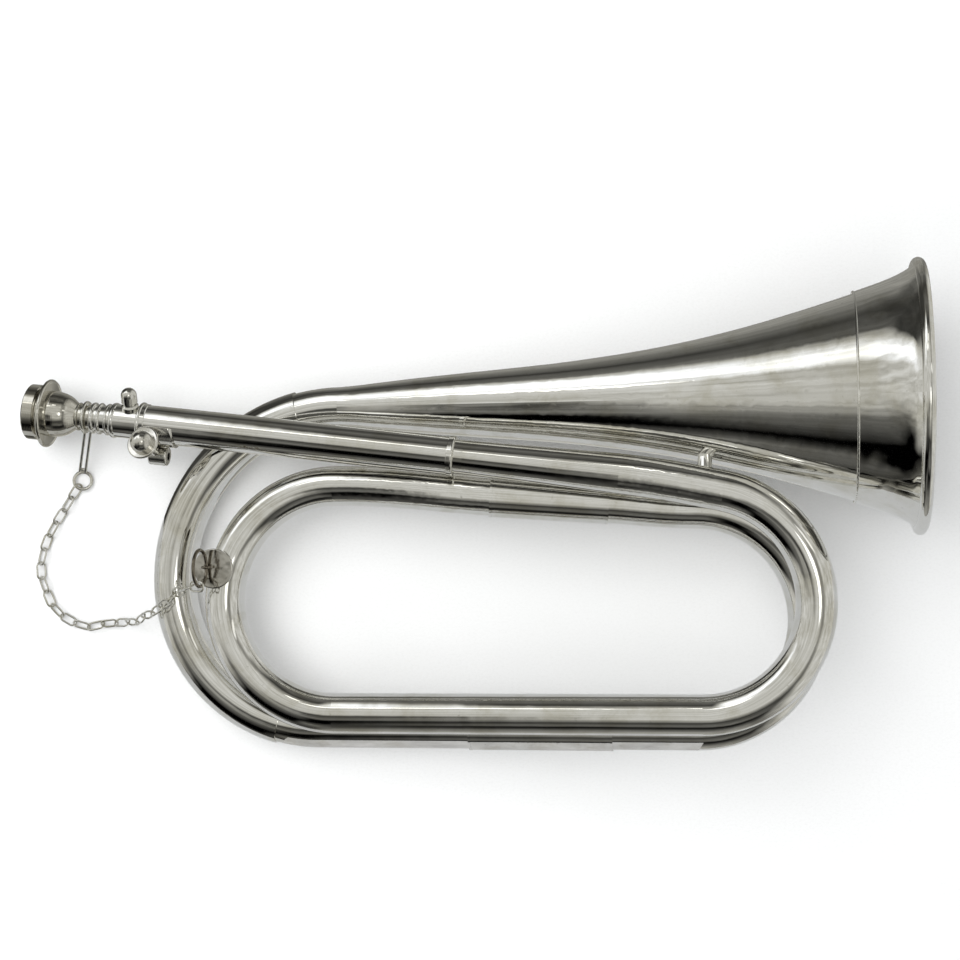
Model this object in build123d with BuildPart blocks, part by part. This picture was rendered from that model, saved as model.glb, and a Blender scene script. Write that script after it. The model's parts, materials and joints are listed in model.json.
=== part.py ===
from build123d import *
import os
from collections import namedtuple
from math import sin, cos, radians, sqrt

# A double-coil field bugle lying at rest: the rim of the bell and the outer left bow touch the
# table, which is the plane Z = 0. +X runs towards the bell, +Z is up. All lengths are in mm.
#
# Most places are given in the coil frame: u along the bell's axis, v across, w up out of the coil
# plane. Left is -u, upper is +v. The rear coil lies at w = 0, the front coil above it.

os.makedirs("parts", exist_ok=True)

# ------------------------------------------------------------------ resting attitude
PITCH = 8.45              # the coil plane rises towards the bell by this angle
ROLL = 0.5                # the coil plane turned about its long direction
REST_X, REST_Y, REST_Z = 2.34, 14.11, 31.64   # origin of the coil frame

# ------------------------------------------------------------------ tube radii
WALL = 0.7
R_SLIDE = 7.65                       # tuning slide tube and start of the branch tube
R_SLEEVE_IN, R_SLEEVE = 7.70, 8.65   # outer tube of the leadpipe
R_FRONT = 9.15                       # front coil
R_REAR = 9.2                         # rear coil
R_BOW_IN, R_BOW = 9.22, 9.9          # outer left bow, lapped over its neighbours
R_JOINT_IN, R_JOINT = 9.22, 9.75     # joint sleeves
FIT = 0.02                           # gap of a soldered fit

# ------------------------------------------------------------------ coil layout
LAYER = 19.2              # height of the front coil plane over the rear one
SPIGOT = 11.0             # how far one tube sits in the next
Bow = namedtuple("Bow", "u v w radius")       # centre and bend radius
RIGHT_FRONT = Bow(100.8, -54.8, LAYER, 50.0)
RIGHT_FRONT_START = 78.0                      # angle where the right front bow begins
RIGHT_REAR = Bow(97.6, -64.0, 0, 50.0)
LEFT_INNER = Bow(-65.2, -53.3, LAYER, 51.5)
LEFT_INNER_DROP = 8.2     # the inner left bow leans down by this, from its lower to its upper end
UPPER_LEFT = Bow(-64.6, -46.0, 0, 80.6)       # outer left bow, upper quarter
LOWER_LEFT_R = 68.0
LOWER_LEFT = Bow(UPPER_LEFT.u - UPPER_LEFT.radius + LOWER_LEFT_R, UPPER_LEFT.v, 0, LOWER_LEFT_R)
BOW_LOW_END, BOW_HIGH_END = 254.8, 104.0      # angles where the outer left bow ends

# ------------------------------------------------------------------ leadpipe
# Stations s run along the leadpipe: 0 at the far end of its sleeve, growing towards the player.
LIP_U, LIP_V = -9.1, 11.0         # where s = 0
LEAD_SLOPE = 6.80                 # leadpipe direction against the bell's axis, degrees
SLEEVE_LEN = 146.4
SLIDE_IN_S, SLIDE_OUT_S = 78.0, 157.4
RECEIVER_MOUTH_S = 169.7
RIM_FACE_S = 200.2                # face of the mouthpiece rim

BODY = Plane(Location((REST_X, REST_Y, REST_Z), (ROLL, -PITCH, 0)))
U_DIR, V_DIR, W_DIR = BODY.x_dir, BODY.y_dir, BODY.z_dir
CLOCKWISE = -1                    # sense of a turn, seen from +w
DOME_MID = sin(radians(45))       # both coordinates halfway along a unit quarter arc


def point(u, v, w=0.0):
    """A point of the coil frame."""
    return BODY.from_local_coords(Vector(u, v, w))


def toward(u, v, w=0.0):
    """A direction of the coil frame."""
    return (point(u, v, w) - BODY.origin).normalized()


def across(origin, direction):
    """The plane that cuts a tube square at a point."""
    return Plane(origin=origin, x_dir=W_DIR.cross(direction).normalized(), z_dir=direction)


def bow_point(bow, angle):
    """The point on a bow's centre line at an angle."""
    turn = radians(angle)
    return point(bow.u + bow.radius * cos(turn), bow.v + bow.radius * sin(turn), bow.w)


def bow_tangent(bow_angle):
    """The anticlockwise direction of any bow at an angle."""
    return toward(-sin(radians(bow_angle)), cos(radians(bow_angle)))


def bow_plane(bow, angle):
    """The plane that cuts a bow square at an angle."""
    return across(bow_point(bow, angle), bow_tangent(angle))


def bow_axis(bow, way=1):
    return Axis(point(bow.u, bow.v, bow.w), W_DIR * way)


LEAD_DIR = toward(-cos(radians(LEAD_SLOPE)), sin(radians(LEAD_SLOPE)))
LEAD_SIDE = toward(sin(radians(LEAD_SLOPE)), cos(radians(LEAD_SLOPE)))
LEAD_START = point(LIP_U, LIP_V, LAYER)
LEAD_AXIS = Axis(LEAD_START, LEAD_DIR)
LEAD_SECTION = Plane(origin=LEAD_START, x_dir=LEAD_DIR, z_dir=LEAD_DIR.cross(W_DIR))


def lead(s, side=0.0, up=0.0):
    """A point at station s of the leadpipe, off its axis to the side and up."""
    return LEAD_START + LEAD_DIR * s + LEAD_SIDE * side + W_DIR * up


def finish(piece, name):
    piece.part.label = name
    export_step(piece.part, f"parts/{name}.step")


def straight_tube(name, start, direction, length, outside, inside):
    with BuildPart() as tube:
        with BuildSketch(across(start, direction)):
            Circle(outside)
            Circle(inside, mode=Mode.SUBTRACT)
        extrude(amount=length)
    finish(tube, name)


def wire_ring(name, centre, outward, normal, radius, wire):
    with BuildPart() as ring:
        with BuildSketch(Plane(origin=centre, x_dir=outward, z_dir=outward.cross(normal))):
            with Locations((radius, 0)):
                Circle(wire)
        revolve(axis=Axis(centre, normal))
    finish(ring, name)


# ================================================================== mouthpiece end
# The outlines of turned pieces are (station along the axis, radius).
SHANK_END_S = 151.6

# One turned piece: thick rim, thin guard flange, deep cup, throat and tapered shank.
with BuildPart() as mouthpiece:
    with BuildSketch(LEAD_SECTION):
        with BuildLine():
            face = RIM_FACE_S
            Polyline((face - 0.9, 12.75), (face - 5.6, 12.75), (face - 6.3, 12.1),
                     (face - 6.3, 11.0), (face - 8.5, 10.8), (face - 8.9, 14.1))
            ThreePointArc((face - 8.9, 14.1), (face - 9.4, 15.8), (face - 10.1, 14.2))
            Polyline((face - 10.1, 14.2), (face - 10.3, 10.7))
            Spline((face - 10.3, 10.7), (face - 15.0, 10.35), (face - 19.3, 9.0),
                   (face - 22.4, 6.8), (face - 23.8, 5.7))
            Polyline((face - 23.8, 5.7), (face - 23.9, 6.1))
            ThreePointArc((face - 23.9, 6.1), (face - 24.4, 6.5), (face - 24.9, 6.1))
            Polyline((face - 24.9, 6.1), (face - 25.0, 5.6), (RECEIVER_MOUTH_S + 0.4, 5.6),
                     (RECEIVER_MOUTH_S + 0.2, 5.0), (SHANK_END_S, 4.6), (SHANK_END_S, 3.7),
                     (face - 15.5, 1.9), (face - 13.0, 1.9))
            ThreePointArc((face - 13.0, 1.9), (face - 9.0, 6.2), (face - 1.6, 8.1))
            ThreePointArc((face - 1.6, 8.1), (face, 10.5), (face - 0.9, 12.75))
        make_face()
    revolve(axis=LEAD_AXIS)
finish(mouthpiece, "mouthpiece")

# Turned socket for the shank: raised rings outside, a spigot in the slide tube.
RECEIVER_END_S = 149.0
RECEIVER_SPIGOT_R = 6.93

with BuildPart() as mouthpiece_receiver:
    with BuildSketch(LEAD_SECTION):
        with BuildLine():
            mouth = RECEIVER_MOUTH_S
            Polyline((mouth, 5.03), (mouth, 6.6))
            ThreePointArc((mouth, 6.6), (mouth - 1.0, 7.3), (mouth - 2.0, 6.6))
            Polyline((mouth - 2.0, 6.6), (mouth - 2.5, 6.1), (mouth - 3.3, 6.1), (mouth - 3.6, 7.0))
            ThreePointArc((mouth - 3.6, 7.0), (mouth - 4.2, 7.35), (mouth - 4.8, 7.0))
            Polyline((mouth - 4.8, 7.0), (mouth - 5.1, 6.3), (mouth - 7.3, 6.5), (mouth - 7.5, 7.1))
            ThreePointArc((mouth - 7.5, 7.1), (mouth - 8.0, 7.35), (mouth - 8.5, 7.1))
            Polyline((mouth - 8.5, 7.1), (mouth - 8.7, 6.6), (mouth - 9.6, 6.6), (mouth - 9.8, 7.4))
            ThreePointArc((mouth - 9.8, 7.4), (mouth - 11.0, 8.15), (SLIDE_OUT_S, 7.6))
            Polyline((SLIDE_OUT_S, 7.6), (SLIDE_OUT_S, RECEIVER_SPIGOT_R),
                     (RECEIVER_END_S, RECEIVER_SPIGOT_R), (RECEIVER_END_S, 4.7),
                     (151.3, 4.62), (mouth, 5.03))
        make_face()
    revolve(axis=LEAD_AXIS)
finish(mouthpiece_receiver, "mouthpiece_receiver")

# Inner tube that slides in the sleeve, and the sleeve itself.
straight_tube("tuning_slide_tube", lead(SLIDE_IN_S), LEAD_DIR, SLIDE_OUT_S - SLIDE_IN_S,
              R_SLIDE, R_SLIDE - WALL)
straight_tube("leadpipe_sleeve", lead(0), LEAD_DIR, SLEEVE_LEN, R_SLEEVE, R_SLEEVE_IN)

# Domed post soldered on the slide, to draw it out by.
POST_S, POST_TILT = 150.7, 33.0
POST_R = 3.6
POST_FOOT, POST_DOME = 5.0, 14.4      # distances from the leadpipe's axis
POST_TOP = POST_DOME + POST_R
POST_DIR = (LEAD_SIDE * cos(radians(POST_TILT)) + W_DIR * sin(radians(POST_TILT))).normalized()
POST_SECTION = Plane(origin=lead(POST_S), x_dir=POST_DIR, z_dir=POST_DIR.cross(LEAD_DIR))

with BuildPart() as slide_pull_post:
    with BuildSketch(POST_SECTION):
        with BuildLine():
            Polyline((POST_FOOT, 0), (POST_FOOT, 3.9), (8.9, 3.9), (9.7, 3.2), (10.6, 3.2),
                     (10.9, POST_R), (POST_DOME, POST_R))
            ThreePointArc((POST_DOME, POST_R),
                          (POST_DOME + POST_R * DOME_MID, POST_R * DOME_MID), (POST_TOP, 0))
            Line((POST_TOP, 0), (POST_FOOT, 0))
        make_face()
    revolve(axis=Axis(lead(POST_S), POST_DIR))
    with BuildSketch(across(lead(POST_S - 10), LEAD_DIR)):
        Circle(R_SLIDE + FIT)
    extrude(amount=20, mode=Mode.SUBTRACT)
finish(slide_pull_post, "slide_pull_post")

# Bead round the sleeve's mouth.
with BuildPart() as sleeve_end_collar:
    with BuildSketch(LEAD_SECTION):
        with BuildLine():
            end = SLEEVE_LEN
            Polyline((end, R_SLEEVE + FIT), (end, 9.0))
            ThreePointArc((end, 9.0), (end - 0.9, 9.65), (end - 1.8, 9.1))
            Polyline((end - 1.8, 9.1), (end - 3.6, 9.0), (end - 3.9, R_SLEEVE + FIT),
                     (end, R_SLEEVE + FIT))
        make_face()
    revolve(axis=LEAD_AXIS)
finish(sleeve_end_collar, "sleeve_end_collar")

# Rounded lip where the sleeve ends on the branch tube.
with BuildPart() as leadpipe_ferrule:
    with BuildSketch(LEAD_SECTION):
        with BuildLine():
            Polyline((2.2, R_SLEEVE + FIT), (2.0, 9.0), (0.4, 9.1))
            ThreePointArc((0.4, 9.1), (-0.5, 8.9), (-0.9, R_SLIDE + FIT))
            Polyline((-0.9, R_SLIDE + FIT), (-FIT, R_SLIDE + FIT), (-FIT, R_SLEEVE + FIT),
                     (2.2, R_SLEEVE + FIT))
        make_face()
    revolve(axis=LEAD_AXIS)
finish(leadpipe_ferrule, "leadpipe_ferrule")

# ================================================================== lyre socket
LYRE_S, LYRE_OUT, LYRE_W = 137.0, 14.05, -3.0     # station, distance towards -v, height
LYRE_R, LYRE_BORE, LYRE_LEN = 4.4, 1.9, 8.8
LYRE_ROUNDING = 0.9
SADDLE_S, SADDLE_LEN, SADDLE_T = 134.8, 12.4, 1.1
SADDLE_HEIGHT, SADDLE_CORNER = 17.6, 2.4
SADDLE_SIDE, SADDLE_UP, SADDLE_REACH = -1.2, 0.9, 16.0   # place and depth of the saddle's cutter
WEB_SIDE, WEB_REACH = -8.6, 5.2
WEB_LEN, WEB_HEIGHT, WEB_CORNER = 7.8, 4.6, 1.2
SCREW_S, SCREW_R, SCREW_PLAY = 136.6, 1.46, 0.04
SCREW_TILT = 19.3         # screw leans to the side, degrees
SCREW_SKEW = 0.22         # and towards the player, as a slope
SCREW_FOOT = lead(SCREW_S, -LYRE_OUT, LYRE_W)
SCREW_DIR = (LEAD_SIDE * sin(radians(SCREW_TILT)) + W_DIR * cos(radians(SCREW_TILT))
             + LEAD_DIR * SCREW_SKEW).normalized()


def beside_lead(s, side, up):
    """A plane along the leadpipe that faces -v."""
    return Plane(origin=lead(s, side, up), x_dir=LEAD_DIR, z_dir=-LEAD_SIDE)


# Curved plate soldered on the sleeve, with a web that carries the socket.
with BuildPart() as lyre_saddle:
    with BuildSketch(across(lead(SADDLE_S - SADDLE_LEN / 2 - 1), LEAD_DIR)):
        Circle(R_SLEEVE + SADDLE_T)
    extrude(amount=SADDLE_LEN + 2)
    with BuildSketch(beside_lead(SADDLE_S, SADDLE_SIDE, SADDLE_UP)):
        RectangleRounded(SADDLE_LEN, SADDLE_HEIGHT, SADDLE_CORNER)
    extrude(amount=SADDLE_REACH, mode=Mode.INTERSECT)
    with BuildSketch(beside_lead(LYRE_S, WEB_SIDE, LYRE_W)):
        RectangleRounded(WEB_LEN, WEB_HEIGHT, WEB_CORNER)
    extrude(amount=WEB_REACH)
    with BuildSketch(across(lead(LYRE_S - 15), LEAD_DIR)):
        Circle(R_SLEEVE + FIT)
    extrude(amount=30, mode=Mode.SUBTRACT)
    with BuildSketch(across(lead(LYRE_S - 12, -LYRE_OUT, LYRE_W), LEAD_DIR)):
        Circle(LYRE_R + FIT)
    extrude(amount=24, mode=Mode.SUBTRACT)
finish(lyre_saddle, "lyre_saddle")

# Round socket along the leadpipe; its bore takes a lyre's stem, its cross hole takes the screw.
with BuildPart() as lyre_socket:
    with BuildSketch(across(lead(LYRE_S - LYRE_LEN / 2, -LYRE_OUT, LYRE_W), LEAD_DIR)):
        Circle(LYRE_R)
    extrude(amount=LYRE_LEN)
    fillet(lyre_socket.edges().filter_by(GeomType.CIRCLE), radius=LYRE_ROUNDING)
    with BuildSketch(across(lead(LYRE_S - LYRE_LEN, -LYRE_OUT, LYRE_W), LEAD_DIR)):
        Circle(LYRE_BORE)
    extrude(amount=2 * LYRE_LEN, mode=Mode.SUBTRACT)
    with BuildSketch(across(SCREW_FOOT, SCREW_DIR)):
        Circle(SCREW_R + SCREW_PLAY)
    extrude(amount=LYRE_R + 2, mode=Mode.SUBTRACT)
finish(lyre_socket, "lyre_socket")

# Thumbscrew: plain stem, neck, wide flange and dome.
SCREW_TIP = 2.4
SCREW_DOME, SCREW_DOME_R = 18.1, 5.3
SCREW_TOP = SCREW_DOME + SCREW_DOME_R
SCREW_SECTION = Plane(origin=SCREW_FOOT, x_dir=SCREW_DIR, z_dir=SCREW_DIR.cross(LEAD_DIR))

with BuildPart() as lyre_thumbscrew:
    with BuildSketch(SCREW_SECTION):
        with BuildLine():
            Polyline((SCREW_TIP, 0), (SCREW_TIP, 1.1), (2.8, SCREW_R), (6.4, SCREW_R), (6.4, 2.3),
                     (13.4, 2.3), (14.4, 3.6), (15.6, 4.6), (16.2, 7.0))
            ThreePointArc((16.2, 7.0), (17.1, 7.7), (17.7, 7.1))
            Polyline((17.7, 7.1), (17.5, 5.4), (SCREW_DOME, SCREW_DOME_R))
            ThreePointArc((SCREW_DOME, SCREW_DOME_R),
                          (SCREW_DOME + SCREW_DOME_R * DOME_MID, SCREW_DOME_R * DOME_MID),
                          (SCREW_TOP, 0))
            Line((SCREW_TOP, 0), (SCREW_TIP, 0))
        make_face()
    revolve(axis=Axis(SCREW_FOOT, SCREW_DIR))
finish(lyre_thumbscrew, "lyre_thumbscrew")

# ================================================================== front coil
# Branch tube out of the sleeve, right bow, bottom straight, inner left bow and the first part of
# the second top tube, which drops towards the rear layer.
BRANCH_TAPER_S, BRANCH_END_S = -5.0, -75.2    # the branch widens evenly between these stations
BRANCH_DIR = -LEAD_DIR
branch_end = lead(BRANCH_END_S)
bow_start = bow_point(RIGHT_FRONT, RIGHT_FRONT_START)
left_top_v = LEFT_INNER.v + LEFT_INNER.radius
left_top = point(LEFT_INNER.u, left_top_v, LAYER - LEFT_INNER_DROP)
left_centre = point(LEFT_INNER.u, LEFT_INNER.v, LAYER - LEFT_INNER_DROP / 2)
LEFT_AXIS = Axis(left_centre, U_DIR.cross(toward(0, 2 * LEFT_INNER.radius, -LEFT_INNER_DROP)))
joint_left = point(7.0, -7.2, 8.3)            # ends of the upper joint sleeve
joint_right = point(58.0, -11.0, 3.3)
JOINT_DIR = (joint_right - joint_left).normalized()

with BuildLine() as branch_bend:
    Spline(branch_end, bow_start, tangents=(BRANCH_DIR, -bow_tangent(RIGHT_FRONT_START)))
with BuildLine() as second_tube_drop:
    Spline(left_top, joint_left, tangents=(U_DIR, JOINT_DIR))

with BuildPart() as front_coil_tube:
    for r_small, r_large, how in ((R_SLIDE, R_FRONT, Mode.ADD),
                                  (R_SLIDE - WALL, R_FRONT - WALL, Mode.SUBTRACT)):
        with BuildSketch(across(lead(SPIGOT), BRANCH_DIR)):
            Circle(r_small)
        extrude(amount=SPIGOT - BRANCH_TAPER_S, mode=how)
        with BuildSketch(across(lead(BRANCH_TAPER_S), BRANCH_DIR)):
            Circle(r_small)
        with BuildSketch(across(branch_end, BRANCH_DIR)):
            Circle(r_large)
        loft(mode=how)
        with BuildSketch(across(branch_end, BRANCH_DIR)):
            Circle(r_large)
        sweep(path=branch_bend.line, mode=how)
        with BuildSketch(bow_plane(RIGHT_FRONT, RIGHT_FRONT_START)):
            Circle(r_large)
        revolve(axis=bow_axis(RIGHT_FRONT, CLOCKWISE), revolution_arc=RIGHT_FRONT_START + 90,
                mode=how)
        with BuildSketch(across(bow_point(RIGHT_FRONT, -90), -U_DIR)):
            Circle(r_large)
        extrude(amount=RIGHT_FRONT.u - LEFT_INNER.u, mode=how)
        with BuildSketch(across(left_top, U_DIR)):
            Circle(r_large)
        revolve(axis=LEFT_AXIS, revolution_arc=180, mode=how)
        with BuildSketch(across(left_top, U_DIR)):
            Circle(r_large)
        sweep(path=second_tube_drop.line, mode=how)
        with BuildSketch(across(joint_left, JOINT_DIR)):
            Circle(r_large)
        extrude(amount=SPIGOT, mode=how)
finish(front_coil_tube, "front_coil_tube")

# ================================================================== joint sleeves
FERRULE_LEN, FERRULE_T = 1.1, 0.15


def joint(name, left, right):
    """A sleeve that joins two tubes, and the thin rings at its ends."""
    along = (right - left).normalized()
    straight_tube(f"{name}_sleeve", left, along, (right - left).length, R_JOINT, R_JOINT_IN)
    with BuildPart() as ferrules:
        for end, way in ((left, -1), (right, 1)):
            with BuildSketch(across(end + along * (FIT * way), along * way)):
                Circle(R_JOINT + FERRULE_T)
                Circle(R_JOINT_IN, mode=Mode.SUBTRACT)
            extrude(amount=FERRULE_LEN)
    finish(ferrules, f"{name}_ferrules")


LOW_LEFT_U, LOW_RIGHT_U = -5.0, 58.6          # ends of the lower joint sleeve
BOTTOM_V = RIGHT_REAR.v - RIGHT_REAR.radius   # line of the rear bottom tube
joint("upper_joint", joint_left, joint_right)
joint("lower_joint", point(LOW_LEFT_U, BOTTOM_V), point(LOW_RIGHT_U, BOTTOM_V))

# ================================================================== rear coil
# Second part of the second top tube, right bow and the start of the bottom tube.
rear_top = bow_point(RIGHT_REAR, 90)
with BuildLine() as second_tube_end:
    Spline(joint_right, rear_top, tangents=(JOINT_DIR, U_DIR))

with BuildPart() as rear_right_bow:
    for r_tube, how in ((R_REAR, Mode.ADD), (R_REAR - WALL, Mode.SUBTRACT)):
        with BuildSketch(across(joint_right - JOINT_DIR * SPIGOT, JOINT_DIR)):
            Circle(r_tube)
        extrude(amount=SPIGOT, mode=how)
        with BuildSketch(across(joint_right, JOINT_DIR)):
            Circle(r_tube)
        sweep(path=second_tube_end.line, mode=how)
        with BuildSketch(across(rear_top, U_DIR)):
            Circle(r_tube)
        revolve(axis=bow_axis(RIGHT_REAR, CLOCKWISE), revolution_arc=180, mode=how)
        with BuildSketch(across(bow_point(RIGHT_REAR, -90), -U_DIR)):
            Circle(r_tube)
        extrude(amount=RIGHT_REAR.u - LOW_RIGHT_U + SPIGOT, mode=how)
finish(rear_right_bow, "rear_right_bow")

# Straight bottom tube with a short bend that sits in the outer left bow.
BOTTOM_LAP = 10.0         # degrees of bend inside the bow's end

with BuildPart() as rear_bottom_tube:
    for r_tube, how in ((R_REAR, Mode.ADD), (R_REAR - WALL, Mode.SUBTRACT)):
        with BuildSketch(across(point(LOW_LEFT_U + SPIGOT, BOTTOM_V), -U_DIR)):
            Circle(r_tube)
        extrude(amount=LOW_LEFT_U + SPIGOT - LOWER_LEFT.u, mode=how)
        with BuildSketch(bow_plane(LOWER_LEFT, 270)):
            Circle(r_tube)
        revolve(axis=bow_axis(LOWER_LEFT, CLOCKWISE),
                revolution_arc=270 - BOW_LOW_END + BOTTOM_LAP, mode=how)
finish(rear_bottom_tube, "rear_bottom_tube")

# U bow of two radii, lapped over the bottom tube and the bell's tail.
with BuildPart() as outer_left_bow:
    for r_tube, how in ((R_BOW, Mode.ADD), (R_BOW_IN, Mode.SUBTRACT)):
        with BuildSketch(bow_plane(LOWER_LEFT, 180)):
            Circle(r_tube)
        revolve(axis=bow_axis(LOWER_LEFT), revolution_arc=BOW_LOW_END - 180, mode=how)
        with BuildSketch(bow_plane(UPPER_LEFT, 180)):
            Circle(r_tube)
        revolve(axis=bow_axis(UPPER_LEFT, CLOCKWISE), revolution_arc=180 - BOW_HIGH_END, mode=how)
finish(outer_left_bow, "outer_left_bow")

# ================================================================== bell
BELL_V = UPPER_LEFT.v + UPPER_LEFT.radius
BELL_WALL = 0.6
BELL_LAP = 8.5            # degrees of the bell's tail inside the outer left bow
TAIL_ARC = BOW_HIGH_END - 90 + BELL_LAP
# Outside of the bell: (u, radius), from the tail to the rim.
BELL_PROFILE = [
    (UPPER_LEFT.u, R_REAR), (-50.0, 10.5), (-37.4, 11.8), (-14.0, 13.9), (9.3, 15.8),
    (36.8, 18.2), (55.0, 20.3), (77.7, 23.5), (100.0, 27.6), (122.5, 32.8),
    (144.7, 38.9), (166.6, 45.5), (182.5, 50.9), (190.3, 54.4), (194.2, 57.0),
]
TAIL_U = BELL_PROFILE[0][0]
EDGE_U, EDGE_R = BELL_PROFILE[-1]
RIM_TANGENT = (0.75, 0.66)
BELL_TANGENTS = ((1, 0.05), RIM_TANGENT)
RIM_U, RIM_R, BEAD_R = 196.6, 58.6, 2.8       # rolled bead at the rim
WIRE_R = 2.0
BELL_AXIS = Axis(point(0, BELL_V), U_DIR)
BELL_SECTION = Plane(origin=point(0, BELL_V), x_dir=U_DIR, z_dir=-V_DIR)

# The inside: the wall is set back a little further on the steep flare, and the last point
# overshoots the edge.
FLARE_U = 150
INNER_END_U = EDGE_U + 0.5
INNER_PROFILE = [(u + 0.3 * BELL_WALL * (u > FLARE_U), radius - BELL_WALL)
                 for u, radius in BELL_PROFILE[:-1]] + [(INNER_END_U, EDGE_R - 0.35)]

# Thin flare turned about its axis, with a short bent tail that sits in the outer left bow.
with BuildPart() as bell:
    with BuildSketch(bow_plane(UPPER_LEFT, 90)):
        Circle(R_REAR)
    revolve(axis=bow_axis(UPPER_LEFT), revolution_arc=TAIL_ARC)
    with BuildSketch(BELL_SECTION):
        with BuildLine():
            outer = Spline(BELL_PROFILE, tangents=BELL_TANGENTS)
            Polyline(outer @ 1, (EDGE_U, 0), (TAIL_U, 0), outer @ 0)
        make_face()
    revolve(axis=BELL_AXIS)
    with BuildSketch(bow_plane(UPPER_LEFT, 90)):
        Circle(R_REAR - BELL_WALL)
    revolve(axis=bow_axis(UPPER_LEFT), revolution_arc=TAIL_ARC, mode=Mode.SUBTRACT)
    with BuildSketch(BELL_SECTION):
        with BuildLine():
            inner = Spline(INNER_PROFILE, tangents=BELL_TANGENTS)
            Polyline(inner @ 1, (INNER_END_U, 0), (TAIL_U, 0), inner @ 0)
        make_face()
    revolve(axis=BELL_AXIS, mode=Mode.SUBTRACT)
    with BuildSketch(BELL_SECTION):
        with Locations((RIM_U, RIM_R)):
            Circle(BEAD_R + FIT)
    revolve(axis=BELL_AXIS, mode=Mode.SUBTRACT)
finish(bell, "bell")

# Reinforcing band over the end of the flare, rolled round the rim wire. The bead has a narrow
# flat land on its +u side, on which the bugle can stand.
GARLAND_U, GARLAND_T = 168.4, 0.55            # start and thickness of the band
GARLAND_EDGE_R = 0.55                         # bead along the band's start
LAND_DEPTH = 0.12
GARLAND_TANGENTS = ((1, 0.34), RIM_TANGENT)
band = [(u - 0.03, radius + 0.07) for u, radius in BELL_PROFILE if u > GARLAND_U]
(before_u, before_r), (after_u, after_r) = BELL_PROFILE[-4:-2]    # profile points either side
band_slope = (after_r - before_r) / (after_u - before_u)
band_r = before_r + band_slope * (GARLAND_U - before_u) + 0.12

with BuildPart() as bell_garland:
    with BuildSketch(BELL_SECTION):
        with BuildLine():
            low = Spline([(GARLAND_U, band_r)] + band, tangents=GARLAND_TANGENTS)
            top = Spline([(GARLAND_U - 0.1, band_r + GARLAND_T)]
                         + [(u - 0.35 * GARLAND_T, radius + GARLAND_T) for u, radius in band],
                         tangents=GARLAND_TANGENTS)
            Line(low @ 0, top @ 0)
            Line(low @ 1, top @ 1)
        make_face()
        with Locations((GARLAND_U + 0.1, band_r + GARLAND_T)):
            Circle(GARLAND_EDGE_R)
        with Locations((RIM_U, RIM_R)):
            Circle(BEAD_R)
            Circle(WIRE_R + FIT, mode=Mode.SUBTRACT)
    revolve(axis=BELL_AXIS)
    with BuildSketch(across(point(RIM_U + BEAD_R - LAND_DEPTH, BELL_V), U_DIR)):
        Circle(RIM_R + 10)
    extrude(amount=5, mode=Mode.SUBTRACT)
finish(bell_garland, "bell_garland")

with BuildPart() as bell_rim_wire:
    with BuildSketch(BELL_SECTION):
        with Locations((RIM_U, RIM_R)):
            Circle(WIRE_R)
    revolve(axis=BELL_AXIS)
finish(bell_rim_wire, "bell_rim_wire")

# Short strut between the branch tube and the bell, cut to fit both.
BRACE_U, BRACE_V = 102.8, -3.3
BRACE_START, BRACE_LEN = 6.0, 11.0
BRACE_HALF_WIDTHS = (3.2, 2.4)
BRACE_DIR = toward(0, BELL_V - BRACE_V, -LAYER)

with BuildPart() as bell_brace:
    with BuildSketch(across(point(BRACE_U, BRACE_V, LAYER) + BRACE_DIR * BRACE_START, BRACE_DIR)):
        Ellipse(*BRACE_HALF_WIDTHS)
    extrude(amount=BRACE_LEN)
    with BuildSketch(across(branch_end, BRANCH_DIR)):
        Circle(R_FRONT + FIT)
    sweep(path=branch_bend.line, mode=Mode.SUBTRACT)
    with BuildSketch(BELL_SECTION):
        with BuildLine():
            brace_cut = Spline([(u, radius + FIT) for u, radius in BELL_PROFILE],
                               tangents=BELL_TANGENTS)
            Polyline(brace_cut @ 1, (EDGE_U, 0), (TAIL_U, 0), brace_cut @ 0)
        make_face()
    revolve(axis=BELL_AXIS, mode=Mode.SUBTRACT)
finish(bell_brace, "bell_brace")

# Solder between tubes that cross: sleeve over the outer bow, front right bow over the rear one.
SOLDER_R, SOLDER_HEIGHT = 4.2, 4.4
SOLDER_FEET = [(-109.0, 22.9, 8.0), (146.0, -75.8, 7.6)]      # (u, v, w)

with BuildPart() as solder_joints:
    for foot in SOLDER_FEET:
        with BuildSketch(Plane(origin=point(*foot), x_dir=U_DIR, z_dir=W_DIR)):
            Circle(SOLDER_R)
        extrude(amount=SOLDER_HEIGHT)
    with BuildSketch(across(lead(60), LEAD_DIR)):
        Circle(R_SLEEVE + FIT)
    extrude(amount=80, mode=Mode.SUBTRACT)
    for bow, angle, arc, r_tube in ((UPPER_LEFT, BOW_HIGH_END, 180 - BOW_HIGH_END, R_BOW),
                                    (RIGHT_REAR, -90, 180, R_REAR),
                                    (RIGHT_FRONT, -90, RIGHT_FRONT_START + 90, R_FRONT)):
        with BuildSketch(bow_plane(bow, angle)):
            Circle(r_tube + FIT)
        revolve(axis=bow_axis(bow), revolution_arc=arc, mode=Mode.SUBTRACT)
finish(solder_joints, "solder_joints")

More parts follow.
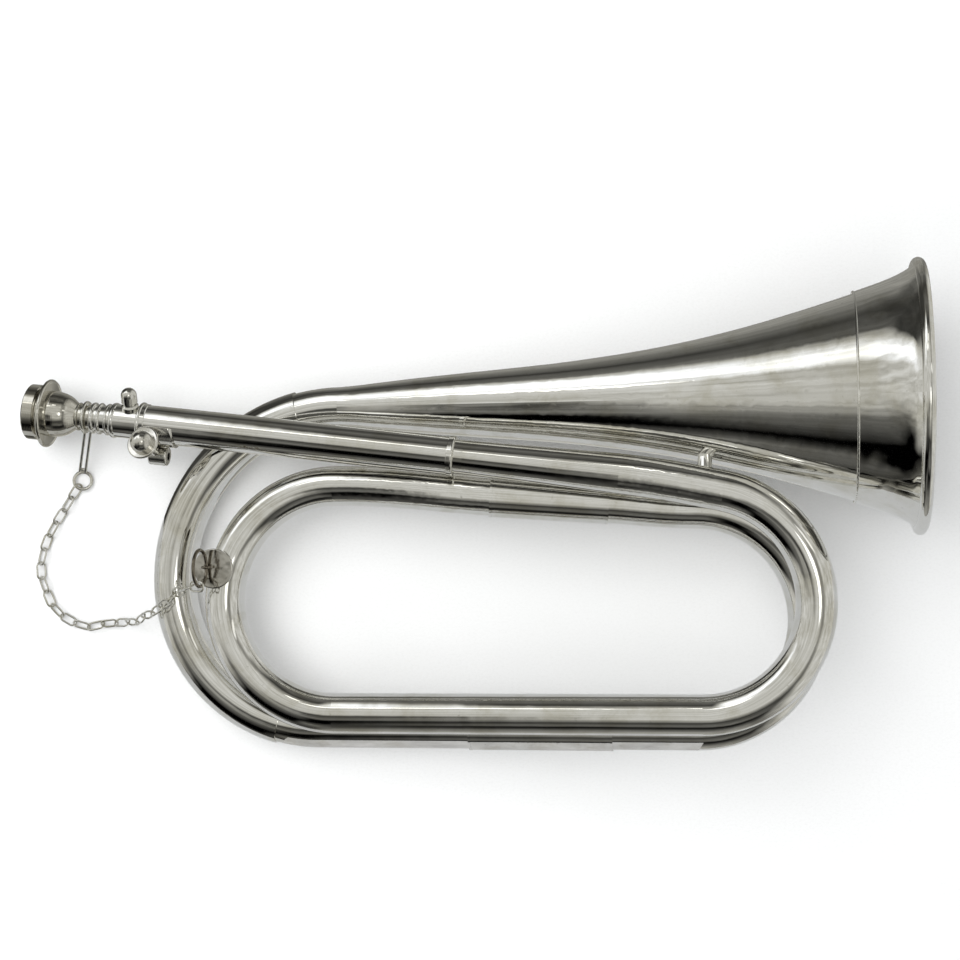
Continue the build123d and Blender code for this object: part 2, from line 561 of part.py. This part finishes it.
# ================================================================== ring and its anchor
DISC_U, DISC_V, DISC_W = -119.7, -38.6, 23.25     # DISC_W is the disc's underside
DISC_R, DISC_T, DISC_ROUNDING = 9.1, 1.3, 0.5
PAD_R, PAD_DEPTH, PAD_SHIFT = 5.2, 3.0, 2.6       # round pad under the disc
PAD_OVERLAP = 0.2
EYE_U, EYE_V = -122.0, -37.8
EYE_R, EYE_WIRE, EYE_RISE = 1.8, 0.65, 2.48
EYE_BASE_R, EYE_BASE_T = 2.0, 0.55
RING_R, RING_WIRE = 8.2, 0.8
RING_LEAN = 4.4                                   # the ring leans back a little from square
DISC_TOP = DISC_W + DISC_T
EYE = point(EYE_U, EYE_V, DISC_TOP + EYE_RISE)

# Disc on the inner left bow, with a pad cut to the tube.
with BuildPart() as anchor_disc:
    with BuildSketch(Plane(origin=point(DISC_U, DISC_V, DISC_W), x_dir=U_DIR, z_dir=W_DIR)):
        Circle(DISC_R)
    extrude(amount=DISC_T)
    fillet(anchor_disc.edges().group_by(Axis(BODY.origin, W_DIR))[-1], radius=DISC_ROUNDING)
    with BuildSketch(Plane(origin=point(DISC_U + PAD_SHIFT, DISC_V, DISC_W + PAD_OVERLAP),
                           x_dir=U_DIR, z_dir=-W_DIR)):
        Circle(PAD_R)
    extrude(amount=PAD_DEPTH)
    with BuildSketch(across(left_top, U_DIR)):
        Circle(R_FRONT + FIT)
    revolve(axis=LEFT_AXIS, revolution_arc=180, mode=Mode.SUBTRACT)
finish(anchor_disc, "anchor_disc")

# Upright wire eye on a small round base.
with BuildPart() as anchor_eyelet:
    with BuildSketch(Plane(origin=EYE, x_dir=U_DIR, z_dir=W_DIR)):
        with Locations((EYE_R, 0)):
            Circle(EYE_WIRE)
    revolve(axis=Axis(EYE, V_DIR))
    with BuildSketch(Plane(origin=point(EYE_U, EYE_V, DISC_TOP), x_dir=U_DIR, z_dir=W_DIR)):
        Circle(EYE_BASE_R)
    extrude(amount=EYE_BASE_T)
finish(anchor_eyelet, "anchor_eyelet")

RING_UP = toward(-sin(radians(RING_LEAN)), 0, cos(radians(RING_LEAN)))
RING_CENTRE = EYE + RING_UP * RING_R
wire_ring("anchor_ring", RING_CENTRE, V_DIR, RING_UP.cross(V_DIR), RING_R, RING_WIRE)

# ================================================================== chain
# Cable links drape from the ring over the outer bow down to the table and back to the
# mouthpiece. Each link lies square to its neighbours.
LINK_R, LINK_W = 0.48, 4.4             # wire radius, width between wire centres
LINK_PITCH, LINK_PLAY = 6.9, 0.3
LINKS = 24
LINK_OVER = LINK_R + LINK_PLAY / 2     # how far a link's end wire runs past its pivot
LINK_HALF = (LINK_PITCH + 2 * LINK_OVER - LINK_W) / 2     # half of a link's straight side
TWIST_STEP, TWIST_MAX = 9.0, 45.0      # the chain twists by this per link, up to the maximum

# Line of the chain: (x, y) from the coil frame's origin and height z over the table.
# The first point only gives the direction of the start.
DRAPE = [
    (-127.0, -46.4, 47.0), (-132.6, -46.2, 43.6), (-139.5, -49.7, 35.5), (-145.9, -55.5, 27.0),
    (-154.6, -60.2, 20.2), (-161.6, -63.9, 12.2), (-168.6, -65.1, 5.6), (-176.0, -64.7, 3.0),
    (-183.8, -67.1, 2.1), (-189.5, -67.0, 2.1), (-197.0, -62.6, 2.1), (-202.1, -59.2, 2.1),
    (-204.9, -52.6, 2.1), (-208.1, -44.0, 2.1), (-208.5, -36.9, 2.1), (-206.9, -30.3, 2.1),
    (-203.5, -21.3, 2.1), (-199.6, -15.7, 2.1), (-195.3, -8.6, 2.1), (-191.2, -2.5, 2.1),
    (-187.5, 3.6, 2.1),
]


def march(line, pitch, count):
    """Pivots one pitch apart along a line of points, from its first point."""
    here = line[0]
    pivots = [here]
    leg = 0
    for _ in range(count):
        while leg + 2 < len(line) and (line[leg + 1] - here).length < pitch:
            leg += 1
        # where this leg leaves the sphere of one pitch round the last pivot
        span = line[leg + 1] - line[leg]
        offset = line[leg] - here
        square = span.dot(span)
        linear = 2 * offset.dot(span)
        constant = offset.dot(offset) - pitch * pitch
        root = sqrt(max(linear * linear - 4 * square * constant, 0.0))
        here = line[leg] + span * ((root - linear) / (2 * square))
        pivots.append(here)
    return pivots


def hook_gap(wire, slack):
    """From a pivot to the centre of the ring wire that the link hooks on."""
    return wire + LINK_R + LINK_PLAY + slack - LINK_OVER


def chain_link(name, start, end, turn):
    """An oval wire link between two pivots, turned about its length from level."""
    along = (end - start).normalized()
    upright = (Vector(0, 0, 1) - along * along.Z).normalized()
    normal = upright.rotate(Axis((0, 0, 0), along), turn)
    frame = Plane(origin=(start + end) * 0.5, x_dir=along, z_dir=normal)
    side_start = frame.from_local_coords(Vector(-LINK_HALF, 0, 0))
    with BuildPart() as link:
        with BuildSketch(Plane(origin=side_start, x_dir=frame.y_dir, z_dir=along)):
            with Locations((LINK_W / 2, 0), (-LINK_W / 2, 0)):
                Circle(LINK_R)
        extrude(amount=2 * LINK_HALF)
        for way in (1, -1):
            hub = frame.from_local_coords(Vector(LINK_HALF * way, 0, 0))
            with BuildSketch(Plane(origin=hub, x_dir=frame.y_dir, z_dir=along)):
                with Locations((-LINK_W / 2 * way, 0)):
                    Circle(LINK_R)
            revolve(axis=Axis(hub, normal), revolution_arc=180)
    finish(link, name)


# The chain hooks on the ring's wire at its -v side.
first_dir = (Vector(*DRAPE[1]) - Vector(*DRAPE[0])).normalized()
chain_start = RING_CENTRE - V_DIR * RING_R - first_dir * hook_gap(RING_WIRE, 0.25)
chain_line = [chain_start] + [Vector(REST_X + x, REST_Y + y, z) for x, y, z in DRAPE[1:]]
PIVOTS = march(chain_line, LINK_PITCH, LINKS)

for i in range(LINKS):
    twist = max(-TWIST_MAX, -TWIST_STEP * i) + (90.0 if i % 2 else 0.0)
    chain_link(f"chain_link_{i + 1:02d}", PIVOTS[i], PIVOTS[i + 1], twist)

# Round ring at the mouthpiece end of the chain; its near side is held up by the last link.
END_RING_R, END_RING_WIRE = 4.1, 0.75
TABLE_GAP = 0.05
last_dir = (PIVOTS[-1] - PIVOTS[-2]).normalized()
ring_near = PIVOTS[-1] - last_dir * hook_gap(END_RING_WIRE, 0.3)
flat_dir = Vector(last_dir.X, last_dir.Y, 0).normalized()
ring_drop = (ring_near.Z - END_RING_WIRE - TABLE_GAP) / (2 * END_RING_R)
ring_dir = Vector(flat_dir.X, flat_dir.Y, -ring_drop).normalized()
ring_normal = ring_dir.cross(Vector(-flat_dir.Y, flat_dir.X, 0)).normalized()
END_RING_CENTRE = ring_near + ring_dir * END_RING_R
wire_ring("chain_end_ring", END_RING_CENTRE, ring_dir, ring_normal, END_RING_R, END_RING_WIRE)

# Wire eye round the mouthpiece's neck, with a long narrow loop that hangs to the ring.
NECK_S = 172.6
COLLAR_R, COLLAR_WIRE = 6.75, 0.8
LOOP_WIRE, LOOP_HALF = 0.65, 1.35      # wire radius, half the width between wire centres
loop_tip = Vector(END_RING_CENTRE.X + 0.6, END_RING_CENTRE.Y + END_RING_R - 0.9, 5.4)
neck = lead(NECK_S)
hang = loop_tip - neck
hang_dir = (hang - LEAD_DIR * hang.dot(LEAD_DIR)).normalized()
loop_top = neck + hang_dir * COLLAR_R
loop_dir = (loop_tip - loop_top).normalized()
loop_side = (LEAD_DIR - loop_dir * LEAD_DIR.dot(loop_dir)).normalized()
loop_turn = loop_tip - loop_dir * LOOP_HALF

with BuildPart() as chain_collar:
    with BuildSketch(Plane(origin=neck, x_dir=hang_dir, z_dir=hang_dir.cross(LEAD_DIR))):
        with Locations((COLLAR_R, 0)):
            Circle(COLLAR_WIRE)
    revolve(axis=Axis(neck, LEAD_DIR))
    with BuildSketch(Plane(origin=loop_top, x_dir=loop_side, z_dir=loop_dir)):
        with Locations((LOOP_HALF, 0), (-LOOP_HALF, 0)):
            Circle(LOOP_WIRE)
    extrude(amount=(loop_tip - loop_top).length - LOOP_HALF)
    with BuildSketch(Plane(origin=loop_turn, x_dir=loop_side, z_dir=loop_dir)):
        with Locations((LOOP_HALF, 0)):
            Circle(LOOP_WIRE)
    revolve(axis=Axis(loop_turn, loop_dir.cross(loop_side)), revolution_arc=180)
finish(chain_collar, "chain_collar")
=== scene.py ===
"""Plated coiled horn (tube, bell, mouthpiece, chain and fittings) lying flat on a white table.

The table lies just under z = 0 and the camera looks straight down, with +Y up in the view.
The plating mirrors a separate dark room that no other surface sees. Units are metres.
"""

import bpy
import functools
import json
import math
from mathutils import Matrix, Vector

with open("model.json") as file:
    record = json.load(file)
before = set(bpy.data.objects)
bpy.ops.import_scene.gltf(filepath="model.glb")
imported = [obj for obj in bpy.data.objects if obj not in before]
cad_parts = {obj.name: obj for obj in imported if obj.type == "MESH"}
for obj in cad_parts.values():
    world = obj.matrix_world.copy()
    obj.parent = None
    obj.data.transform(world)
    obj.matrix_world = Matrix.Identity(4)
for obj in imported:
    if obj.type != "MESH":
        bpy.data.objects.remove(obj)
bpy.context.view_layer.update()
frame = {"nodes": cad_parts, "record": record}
scene = bpy.context.scene


# ---------------------------------------------------------------- node helpers
def colour(value):
    """A grey level or an RGB triple as RGBA; a socket passes through."""
    if isinstance(value, bpy.types.NodeSocket):
        return value
    if isinstance(value, (int, float)):
        return (value, value, value, 1.0)
    return (*value, 1.0)


class Nodes:
    """Shorthand for building a node tree. Inputs may be values or sockets."""

    def __init__(self, tree):
        self.tree = tree
        tree.nodes.clear()

    def add(self, kind, **props):
        node = self.tree.nodes.new(kind)
        for key, value in props.items():
            setattr(node, key, value)
        return node

    def link(self, source, target):
        self.tree.links.new(source, target)

    def put(self, socket, value):
        if isinstance(value, bpy.types.NodeSocket):
            self.link(value, socket)
        else:
            socket.default_value = value

    def math(self, operation, first, second=None, clamp=False):
        node = self.add("ShaderNodeMath", operation=operation, use_clamp=clamp)
        self.put(node.inputs[0], first)
        if second is not None:
            self.put(node.inputs[1], second)
        return node.outputs[0]

    def plus(self, first, second, clamp=False):
        return self.math("ADD", first, second, clamp)

    def times(self, first, second):
        return self.math("MULTIPLY", first, second)

    def remap(self, value, source, target, kind="LINEAR"):
        """Map the range source (low, high) to the range target."""
        node = self.add("ShaderNodeMapRange", interpolation_type=kind)
        self.put(node.inputs["Value"], value)
        node.inputs["From Min"].default_value = source[0]
        node.inputs["From Max"].default_value = source[1]
        node.inputs["To Min"].default_value = target[0]
        node.inputs["To Max"].default_value = target[1]
        return node.outputs["Result"]

    def rise(self, value, low, high):
        """Smooth step from 0 at low to 1 at high."""
        return self.remap(value, (low, high), (0.0, 1.0), "SMOOTHSTEP")

    def fall(self, value, low, high):
        """Smooth step from 1 at low to 0 at high."""
        return self.remap(value, (low, high), (1.0, 0.0), "SMOOTHSTEP")

    def noise(self, coords, scale, detail=3.0, rough=0.5, distortion=0.0):
        node = self.add("ShaderNodeTexNoise")
        self.put(node.inputs["Vector"], coords)
        node.inputs["Scale"].default_value = scale
        node.inputs["Detail"].default_value = detail
        node.inputs["Roughness"].default_value = rough
        node.inputs["Distortion"].default_value = distortion
        return node.outputs["Fac"]

    def stretch(self, coords, scale):
        node = self.add("ShaderNodeMapping")
        self.put(node.inputs["Vector"], coords)
        node.inputs["Scale"].default_value = scale
        return node.outputs["Vector"]

    def ramp(self, factor, stops):
        """Linear ramp through (position, colour) stops."""
        node = self.add("ShaderNodeValToRGB")
        self.put(node.inputs["Fac"], factor)
        elements = node.color_ramp.elements
        while len(elements) > 1:
            elements.remove(elements[-1])
        elements[0].position = stops[0][0]
        elements[0].color = colour(stops[0][1])
        for position, value in stops[1:]:
            elements.new(position).color = colour(value)
        return node.outputs["Color"]

    def mix(self, factor, first, second, blend="MIX"):
        node = self.add("ShaderNodeMix", data_type="RGBA", blend_type=blend)
        self.put(node.inputs[0], factor)
        self.put(node.inputs[6], colour(first))
        self.put(node.inputs[7], colour(second))
        return node.outputs[2]

    def bump(self, height, distance, normal=None, strength=1.0):
        node = self.add("ShaderNodeBump")
        self.put(node.inputs["Height"], height)
        node.inputs["Distance"].default_value = distance
        node.inputs["Strength"].default_value = strength
        if normal is not None:
            self.link(normal, node.inputs["Normal"])
        return node.outputs["Normal"]


def new_material(name, shader_kind):
    """Return a material, its tree, its surface shader and its object coordinates."""
    material = bpy.data.materials.new(name)
    material.use_nodes = True
    nodes = Nodes(material.node_tree)
    output = nodes.add("ShaderNodeOutputMaterial")
    shader = nodes.add(shader_kind)
    nodes.link(shader.outputs[0], output.inputs[0])
    return material, nodes, shader, nodes.add("ShaderNodeTexCoord").outputs["Object"]


# ---------------------------------------------------------------- plated metal
# base, tarnish: colours of clean and dull metal
# rough: roughness range; wave, wave_scale: height and noise scale of the slow waviness
# lines, stretch: depth of the polishing lines and stretch of their noise
# hammered, pits: depths of the dents and of the specks; 0 leaves them out
# spun: axis, pitch and depth of lathe rings
SILVER = dict(base=(0.86, 0.855, 0.83), tarnish=(0.66, 0.64, 0.56))
PLATINGS = {
    "tube_plate": dict(
        **SILVER, rough=(0.02, 0.065), wave=0.00020, wave_scale=42.0,
        lines=0.0000025, stretch=(1, 6, 6), pits=0.000006),
    "bell_plate": dict(
        **SILVER, rough=(0.015, 0.055), wave=0.00016, wave_scale=26.0,
        lines=0.000002, stretch=(1, 6, 6), pits=0.000005),
    "garland_plate": dict(
        **SILVER, rough=(0.02, 0.06), wave=0.00050, wave_scale=38.0,
        lines=0.000002, stretch=(6, 1, 1), hammered=0.00022),
    "mouthpiece_plate": dict(
        base=(0.70, 0.685, 0.63), tarnish=(0.48, 0.45, 0.38),
        rough=(0.03, 0.08), wave=0.00008, wave_scale=60.0, lines=0.000002, stretch=(6, 1, 1),
        spun=dict(axis=(-0.982, 0.119, -0.146), pitch=0.0008, depth=0.000005)),
    "fitting_plate": dict(
        base=(0.80, 0.79, 0.75), tarnish=(0.55, 0.52, 0.45), rough=(0.08, 0.2),
        wave=0.00012, wave_scale=160.0, lines=0.000004, stretch=(3, 3, 3), pits=0.00002),
    "ring_plate": dict(
        base=(0.24, 0.215, 0.175), tarnish=(0.14, 0.12, 0.09), rough=(0.10, 0.25),
        wave=0.00005, wave_scale=400.0, lines=0.00001, stretch=(2, 2, 2), pits=0.00003),
    "disc_plate": dict(
        base=(0.60, 0.585, 0.545), tarnish=(0.42, 0.40, 0.35), rough=(0.04, 0.12),
        wave=0.00025, wave_scale=120.0, lines=0.000004, stretch=(3, 3, 3), pits=0.00002),
    "chain_plate": dict(
        base=(0.84, 0.83, 0.78), tarnish=(0.62, 0.60, 0.50), rough=(0.12, 0.30),
        wave=0.00005, wave_scale=500.0, lines=0.00001, stretch=(2, 2, 2), pits=0.00003),
    "solder": dict(
        base=(0.62, 0.62, 0.60), tarnish=(0.42, 0.41, 0.38), rough=(0.3, 0.5),
        wave=0.0003, wave_scale=300.0, lines=0.00001, stretch=(1, 1, 1), pits=0.00005),
}
# pieces whose plating differs from the slot in the record
OWN_PLATING = {
    "bell_garland": "garland_plate",
    "anchor_ring": "ring_plate",
    "anchor_eyelet": "ring_plate",
    "anchor_disc": "disc_plate",
}


def lathe_rings(nodes, coords, normal, axis, pitch, depth):
    """Fine, uneven rings across an axis through the object's origin."""
    along = nodes.add("ShaderNodeVectorMath", operation="DOT_PRODUCT")
    nodes.link(coords, along.inputs[0])
    along.inputs[1].default_value = axis
    phase = nodes.plus(nodes.times(along.outputs["Value"], 2 * math.pi / pitch),
                       nodes.times(nodes.noise(coords, scale=30.0, detail=2.0), 6.0))
    ring = nodes.math("SINE", phase)
    uneven = nodes.noise(nodes.stretch(coords, (1, 0.1, 0.1)), scale=300.0)
    return nodes.bump(nodes.times(ring, uneven), depth, normal)


def hammer_dents(nodes, coords, normal, depth):
    cells = nodes.add("ShaderNodeTexVoronoi", feature="SMOOTH_F1")
    nodes.link(coords, cells.inputs["Vector"])
    cells.inputs["Scale"].default_value = 95.0
    cells.inputs["Smoothness"].default_value = 1.0
    return nodes.bump(nodes.times(cells.outputs["Distance"], 1.0), depth, normal)


def plated(name, base, tarnish, rough, wave, wave_scale, lines, stretch,
           spun=None, hammered=0.0, pits=0.0):
    """Bright plating: slow waviness, polishing lines, patchy tarnish and worn roughness."""
    material, nodes, shader, coords = new_material(name, "ShaderNodeBsdfPrincipled")
    patch = nodes.noise(coords, scale=55.0, detail=4.0, rough=0.6, distortion=0.4)
    spots = nodes.noise(coords, scale=420.0, detail=5.0, rough=0.65)
    dull = nodes.rise(patch, low=0.42, high=0.75)
    speck = nodes.rise(spots, low=0.60, high=0.78)
    speck_colour = [channel * 0.6 for channel in tarnish]
    tone = nodes.mix(nodes.times(dull, 0.75), base, tarnish)
    tone = nodes.mix(nodes.times(speck, 0.35), tone, speck_colour)
    nodes.link(tone, shader.inputs["Base Color"])
    shader.inputs["Metallic"].default_value = 1.0

    # streaks and specks add a little to the patchy roughness
    streak = nodes.noise(nodes.stretch(coords, stretch), scale=900.0, detail=4.0, rough=0.7)
    wear = nodes.noise(coords, scale=130.0, detail=5.0, rough=0.6)
    roughness = nodes.remap(wear, source=(0.3, 0.75), target=rough)
    streak_mask = nodes.rise(streak, low=0.55, high=0.8)
    roughness = nodes.plus(roughness, nodes.times(streak_mask, 0.05))
    roughness = nodes.plus(roughness, nodes.times(speck, 0.12), clamp=True)
    nodes.link(roughness, shader.inputs["Roughness"])

    waviness = nodes.noise(coords, scale=wave_scale, detail=2.0, distortion=0.3)
    normal = nodes.bump(waviness, wave)
    normal = nodes.bump(streak, lines, normal)
    if spun:
        normal = lathe_rings(nodes, coords, normal, **spun)
    if hammered:
        normal = hammer_dents(nodes, coords, normal, hammered)
    if pits:
        normal = nodes.bump(speck, pits, normal, strength=0.6)
    nodes.link(normal, shader.inputs["Normal"])
    return material


def dress_pieces():
    materials = {name: plated(name, **finish) for name, finish in PLATINGS.items()}
    slots = {part["node"]: part["material_slot"] for part in frame["record"]["subparts"]}
    slots.update(OWN_PLATING)
    for name, piece in frame["nodes"].items():
        piece.data.materials.clear()
        piece.data.materials.append(materials[slots[name]])
        piece.data.shade_smooth()


# ---------------------------------------------------------------- table and glowing strip
TABLE = dict(place=(0.02, 0.02, -0.0006), size=(1.3, 0.90))
# the part of the table that the plating mirrors; beyond it the room is dark
MIRRORED = dict(place=(0.02, -0.09, -0.0010), size=(1.3, 0.18))
# x, y, z of a nearly upright glowing strip that climbs towards +X; it paints a pale reflection
# along the lower edge of the rear tube
GLOW_STRIP_CORNERS = [
    (-0.095, -0.116, 0.007), (0.100, -0.116, 0.036),
    (0.100, -0.118, 0.058), (-0.095, -0.118, 0.029),
]


def sheet(name, place, size):
    bpy.ops.mesh.primitive_grid_add(
        x_subdivisions=24, y_subdivisions=24, size=1.0, location=place)
    grid = bpy.context.object
    grid.name = name
    grid.scale = (*size, 1.0)
    return grid


def table_white():
    material, nodes, shader, coords = new_material("table_white", "ShaderNodeBsdfPrincipled")
    grain = nodes.noise(coords, scale=900.0, rough=0.7)
    cloud = nodes.noise(coords, scale=6.0)
    tone = nodes.mix(nodes.rise(cloud, low=0.35, high=0.7),
                     (0.90, 0.90, 0.895), (0.86, 0.862, 0.855))
    grain_mask = nodes.remap(grain, source=(0.45, 0.75), target=(0.0, 0.5))
    tone = nodes.mix(grain_mask, tone, (0.80, 0.80, 0.79))
    nodes.link(tone, shader.inputs["Base Color"])
    roughness = nodes.remap(grain, source=(0.3, 0.7), target=(0.55, 0.75))
    nodes.link(roughness, shader.inputs["Roughness"])
    nodes.link(nodes.bump(grain, distance=0.00004), shader.inputs["Normal"])
    return material


def only_in_reflections(thing):
    thing.visible_camera = False
    thing.visible_diffuse = False
    thing.visible_shadow = False


def build_table():
    """One sheet for the camera and one, faintly glowing, for the reflections."""
    table = sheet("table_top", **TABLE)
    mirrored = sheet("table_mirrored", **MIRRORED)
    white = table_white()
    table.data.materials.append(white)
    glowing = white.copy()
    glowing.name = "table_mirrored_glow"
    shader = glowing.node_tree.nodes["Principled BSDF"]
    # painted glow: the mirrored sheet gives off faint light of its own, so the table seen in
    # the plating is brighter than the lamps make it
    shader.inputs["Emission Color"].default_value = (1.0, 1.0, 0.99, 1.0)
    shader.inputs["Emission Strength"].default_value = 0.06
    mirrored.data.materials.append(glowing)
    table.visible_glossy = False
    only_in_reflections(mirrored)


def build_glow_strip():
    """Glowing strip low on the -Y side, seen only in the plating: a painted reflection that
    makes the lower edge of the rear tube pale.
    """
    mesh = bpy.data.meshes.new("glow_strip")
    mesh.from_pydata(GLOW_STRIP_CORNERS, [], [(0, 1, 2, 3)])
    mesh.update()
    glow_strip = bpy.data.objects.new("glow_strip", mesh)
    scene.collection.objects.link(glow_strip)
    material, nodes, shader, coords = new_material("glow_strip_emission", "ShaderNodeEmission")
    mottle = nodes.noise(coords, scale=60.0, detail=4.0, rough=0.6)
    # painted reflection: the strip gives off its own slightly mottled light, though it is no
    # lamp
    nodes.link(nodes.mix(mottle, 0.3, 0.75), shader.inputs["Color"])
    mesh.materials.append(material)
    only_in_reflections(glow_strip)


# ---------------------------------------------------------------- room seen in the plating
BLACK, DARK, DIM, MID, PALE, WHITE = 0.0, 0.03, 0.10, 0.20, 0.40, 0.95
# Bands of (angle in degrees, tone). The first three run from straight up towards +Y,
# SIDEWAYS from the YZ plane towards +X.
MIDDLE = [
    (-180, PALE), (-110, MID), (-80, DARK), (-70, BLACK), (-60, DIM), (-40, DARK),
    (-20, PALE), (40, PALE), (60, DARK), (80, DIM), (100, DARK), (140, MID),
]
LEFT = [
    (-180, DIM), (-100, DARK), (-80, DIM), (-60, BLACK), (-40, BLACK), (-30, DIM), (-10, DARK),
    (0, PALE), (40, PALE), (50, WHITE), (60, WHITE), (80, DIM), (100, DARK), (150, DIM),
]
FLARE = [
    (-180, PALE), (-120, MID), (-100, DARK), (-90, BLACK), (-60, BLACK), (-50, DARK),
    (-30, DIM), (0, PALE), (40, PALE), (50, WHITE), (60, WHITE), (80, DARK), (120, DARK),
]
SIDEWAYS = [(-90, PALE), (-60, PALE), (-30, DIM), (0, DIM), (20, DARK), (40, PALE), (90, PALE)]
# soft spots: centre towards +X and +Y, radius in X and Y (all degrees), gain
LAMPS = [
    (10, 0, 7, 8, 1.3),
    (-5, 45, 4, 3, 0.9),
    (-20, 40, 10, 3.5, 0.7),
    (30, 20, 9, 4, 0.5),
]
DEGREES = 180 / math.pi


def room_colour(nodes):
    """Banded studio with soft lamps, by direction."""
    direction = nodes.add("ShaderNodeTexCoord").outputs["Generated"]
    split = nodes.add("ShaderNodeSeparateXYZ")
    nodes.link(direction, split.inputs[0])
    x, y, z = split.outputs
    swirl = nodes.noise(direction, scale=3.2, rough=0.6)
    wobble = nodes.times(nodes.math("SUBTRACT", swirl, 0.5), 9.0)
    angle_y = nodes.plus(nodes.times(nodes.math("ARCTAN2", y, z), DEGREES), wobble)
    angle_x = nodes.times(nodes.math("ARCSINE", x), DEGREES)

    # the ramps run over -180..180 degrees
    turn_y = nodes.plus(nodes.math("DIVIDE", angle_y, 360.0), 0.5)
    turn_x = nodes.plus(nodes.math("DIVIDE", angle_x, 360.0), 0.5)

    def bands(turn, tones):
        return nodes.ramp(turn, [(0.5 + angle / 360.0, tone) for angle, tone in tones])

    middle, left, flare = [bands(turn_y, tones) for tones in (MIDDLE, LEFT, FLARE)]
    sideways = bands(turn_x, SIDEWAYS)
    walls = nodes.mix(nodes.fall(angle_x, -20.0, -11.0), middle, left)
    walls = nodes.mix(nodes.fall(angle_x, -33.0, -24.0), walls, flare)
    walls = nodes.mix(nodes.fall(x, -0.96, -0.80), walls, sideways)
    walls = nodes.mix(nodes.rise(x, 0.22, 0.50), walls, sideways)

    def lamp(centre_x, centre_y, radius_x, radius_y, gain):
        across = nodes.math("DIVIDE", nodes.math("SUBTRACT", angle_x, centre_x), radius_x)
        along = nodes.math("DIVIDE", nodes.math("SUBTRACT", angle_y, centre_y), radius_y)
        distance = nodes.plus(nodes.times(across, across), nodes.times(along, along))
        return nodes.times(nodes.fall(distance, 0.5, 1.3), gain)

    lamps = functools.reduce(nodes.plus, (lamp(*row) for row in LAMPS))

    # uneven brightness, then warm shadows and cool highlights
    cloud = nodes.noise(nodes.stretch(direction, (1.0, 2.0, 1.0)),
                        scale=5.5, detail=5.0, rough=0.65)
    breakup = nodes.remap(cloud, source=(0.3, 0.7), target=(0.70, 1.35))
    scaled = nodes.add("ShaderNodeVectorMath", operation="SCALE")
    nodes.link(walls, scaled.inputs[0])
    nodes.link(breakup, scaled.inputs["Scale"])
    uneven = scaled.outputs[0]
    tint = nodes.mix(nodes.rise(uneven, 0.25, 0.75), (1.0, 0.985, 0.90), (0.975, 0.99, 1.0))
    room = nodes.mix(1.0, uneven, tint, "MULTIPLY")
    return nodes.mix(1.0, room, nodes.mix(lamps, 0.0, (1.0, 1.0, 0.97)), "ADD")


def build_world():
    """Glossy rays see the room; all others see a plain pale sky."""
    world = bpy.data.worlds.new("room")
    scene.world = world
    world.use_nodes = True
    nodes = Nodes(world.node_tree)
    output = nodes.add("ShaderNodeOutputWorld")
    room = room_colour(nodes)

    def background(tone, strength):
        node = nodes.add("ShaderNodeBackground")
        nodes.put(node.inputs["Color"], colour(tone))
        node.inputs["Strength"].default_value = strength
        return node.outputs[0]

    glossy = background(room, strength=1.45)
    plain = background((0.97, 0.985, 1.0), strength=0.66)
    path = nodes.add("ShaderNodeLightPath")
    pick = nodes.add("ShaderNodeMixShader")
    nodes.link(path.outputs["Is Glossy Ray"], pick.inputs[0])
    nodes.link(plain, pick.inputs[1])
    nodes.link(glossy, pick.inputs[2])
    nodes.link(pick.outputs[0], output.inputs["Surface"])


# ---------------------------------------------------------------- lights and camera
def soft_light(name, place, aim, size, watts):
    """Disc light that the plating does not mirror."""
    light = bpy.data.lights.new(name, "AREA")
    light.shape = "DISK"
    light.size = size
    light.energy = watts
    holder = bpy.data.objects.new(name, light)
    scene.collection.objects.link(holder)
    holder.location = place
    towards = Vector(aim) - Vector(place)
    holder.rotation_euler = towards.to_track_quat("-Z", "Y").to_euler()
    holder.visible_glossy = False


def build_camera():
    """Straight down from above the coil, turned slightly about Z."""
    lens = bpy.data.cameras.new("camera")
    lens.sensor_width = 36.0
    lens.lens = 71.25
    lens.clip_start = 0.01
    camera = bpy.data.objects.new("camera", lens)
    scene.collection.objects.link(camera)
    camera.location = (0.00234, 0.01411, 0.902)
    camera.rotation_euler = (0.0, 0.0, math.radians(-0.8))
    scene.camera = camera


scene.view_settings.view_transform = "Standard"
scene.view_settings.look = "None"
scene.view_settings.exposure = 0.0
scene.view_settings.gamma = 1.0
dress_pieces()
build_table()
build_glow_strip()
build_world()
soft_light("key", place=(-0.50, 0.42, 1.25), aim=(-0.06, 0, 0), size=1.2, watts=11.5)
soft_light("fill", place=(-0.30, -0.25, 1.6), aim=(-0.1, 0, 0), size=1.4, watts=7.0)
build_camera()
